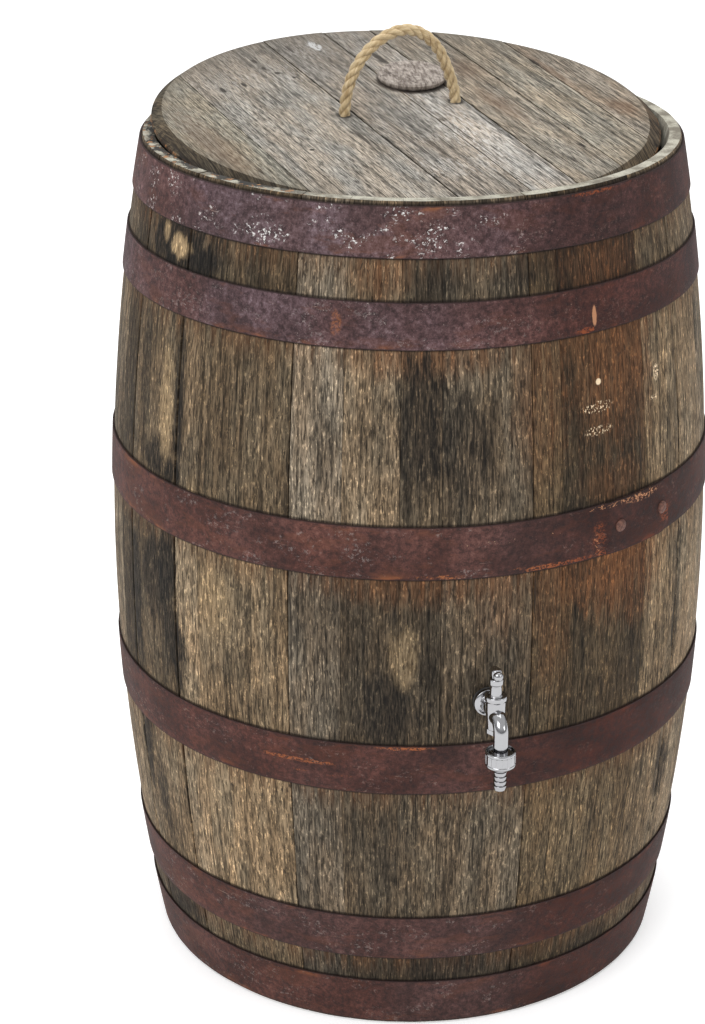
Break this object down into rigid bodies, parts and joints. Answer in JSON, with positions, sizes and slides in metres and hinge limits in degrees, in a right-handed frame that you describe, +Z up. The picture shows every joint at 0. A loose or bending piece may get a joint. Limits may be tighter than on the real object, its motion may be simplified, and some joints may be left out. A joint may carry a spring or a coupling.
{
  "type": "rain barrel",
  "caption": "Oak cask water butt with rusted hoops, a loose round lid with a rope handle, and a chrome plug tap with a hose barb.",
  "frame": {"origin": "centre of the ring on which the staves stand, on the barrel's axis at the floor", "axes": "+Z up along the barrel's axis, -Y towards the tap, +X to the right when facing the tap"},
  "size_m": [0.6292, 0.699, 0.9923],
  "materials": {
    "weathered_oak": "weathered, open grain",
    "rusted_hoop": "matte rust",
    "rivet_steel": "matte rust",
    "head_oak": "sawn",
    "bung_wood": "plain",
    "lid_oak": "weathered grey",
    "batten_wood": "sawn",
    "screw_steel": "zinc plated",
    "stopper_wood": "cracked end grain",
    "rope": "three-strand natural fibre",
    "seal_rubber": "matte",
    "tap_chrome": "polished"
  },
  "bodies": {
    "cask": {"bottom_board_1": "head_oak", "bottom_board_2": "head_oak", "bottom_board_3": "head_oak", "bottom_board_4": "head_oak", "bottom_board_5": "head_oak", "hoop_1": "rusted_hoop", "hoop_2": "rusted_hoop", "hoop_3": "rusted_hoop", "hoop_4": "rusted_hoop", "hoop_5": "rusted_hoop", "hoop_6": "rusted_hoop", "hoop_rivets": "rivet_steel", "stave_01": "weathered_oak", "stave_02": "weathered_oak", "stave_03": "weathered_oak", "stave_04": "weathered_oak", "stave_05": "weathered_oak", "stave_06": "weathered_oak", "stave_07": "weathered_oak", "stave_08": "weathered_oak", "stave_09": "weathered_oak", "stave_10": "weathered_oak", "stave_11": "weathered_oak", "stave_12": "weathered_oak", "stave_13": "weathered_oak", "stave_14": "weathered_oak", "stave_15": "weathered_oak", "stave_16": "weathered_oak", "stave_17": "weathered_oak", "stave_18": "weathered_oak", "stave_19": "weathered_oak", "stave_20": "weathered_oak", "stave_21": "weathered_oak", "stave_22": "weathered_oak", "stave_23": "weathered_oak", "stave_24": "weathered_oak", "bilge_bung": "bung_wood", "tap_body": "tap_chrome", "tap_outer_seal": "seal_rubber", "tap_inner_seal": "seal_rubber", "tap_lock_nut": "tap_chrome"},
    "lid": {"lid_batten_back": "batten_wood", "lid_batten_front": "batten_wood", "lid_batten_screws": "screw_steel", "lid_board_1": "lid_oak", "lid_board_2": "lid_oak", "lid_board_3": "lid_oak", "lid_board_4": "lid_oak", "lid_board_5": "lid_oak", "lid_board_6": "lid_oak", "lid_board_7": "lid_oak", "lid_stopper": "stopper_wood", "rope_knots": "rope"},
    "rope_handle": {"rope_handle": "rope"},
    "tap_plug": {"tap_plug": "tap_chrome", "tap_plug_nut": "tap_chrome", "tap_handle": "tap_chrome"},
    "hose_tail": {"hose_tail": "tap_chrome", "hose_washer": "seal_rubber"},
    "union_nut": {"hose_union_nut": "tap_chrome"}
  },
  "joints": [
    {"name": "lid_lift", "type": "slide", "parent": "cask", "child": "lid", "axis": [0, 0, 1], "range_m": [0, 0.35]},
    {"name": "rope_handle_fold", "type": "hinge", "parent": "lid", "child": "rope_handle", "pos_m": [-0.00838, 0.01221, 0.91205], "axis": [0.9801, 0.1982, 0.0113], "range_deg": [-55, 75]},
    {"name": "tap_turn", "type": "hinge", "parent": "cask", "child": "tap_plug", "pos_m": [0, -0.34498, 0.395], "axis": [0, 0, 1], "range_deg": [0, 90]},
    {"name": "hose_tail_drop", "type": "slide", "parent": "cask", "child": "hose_tail", "axis": [0, 0, -1], "range_m": [0, 0.0073]},
    {"name": "union_nut_turn", "type": "hinge", "parent": "hose_tail", "child": "union_nut", "pos_m": [0, -0.36498, 0.395], "axis": [0, 0, -1], "range_deg": [0, 1440]}
  ],
  "couplings": [
    {"joint": "hose_tail_drop", "follows": "union_nut_turn", "m_per_rad": 0.00028871}
  ]
}
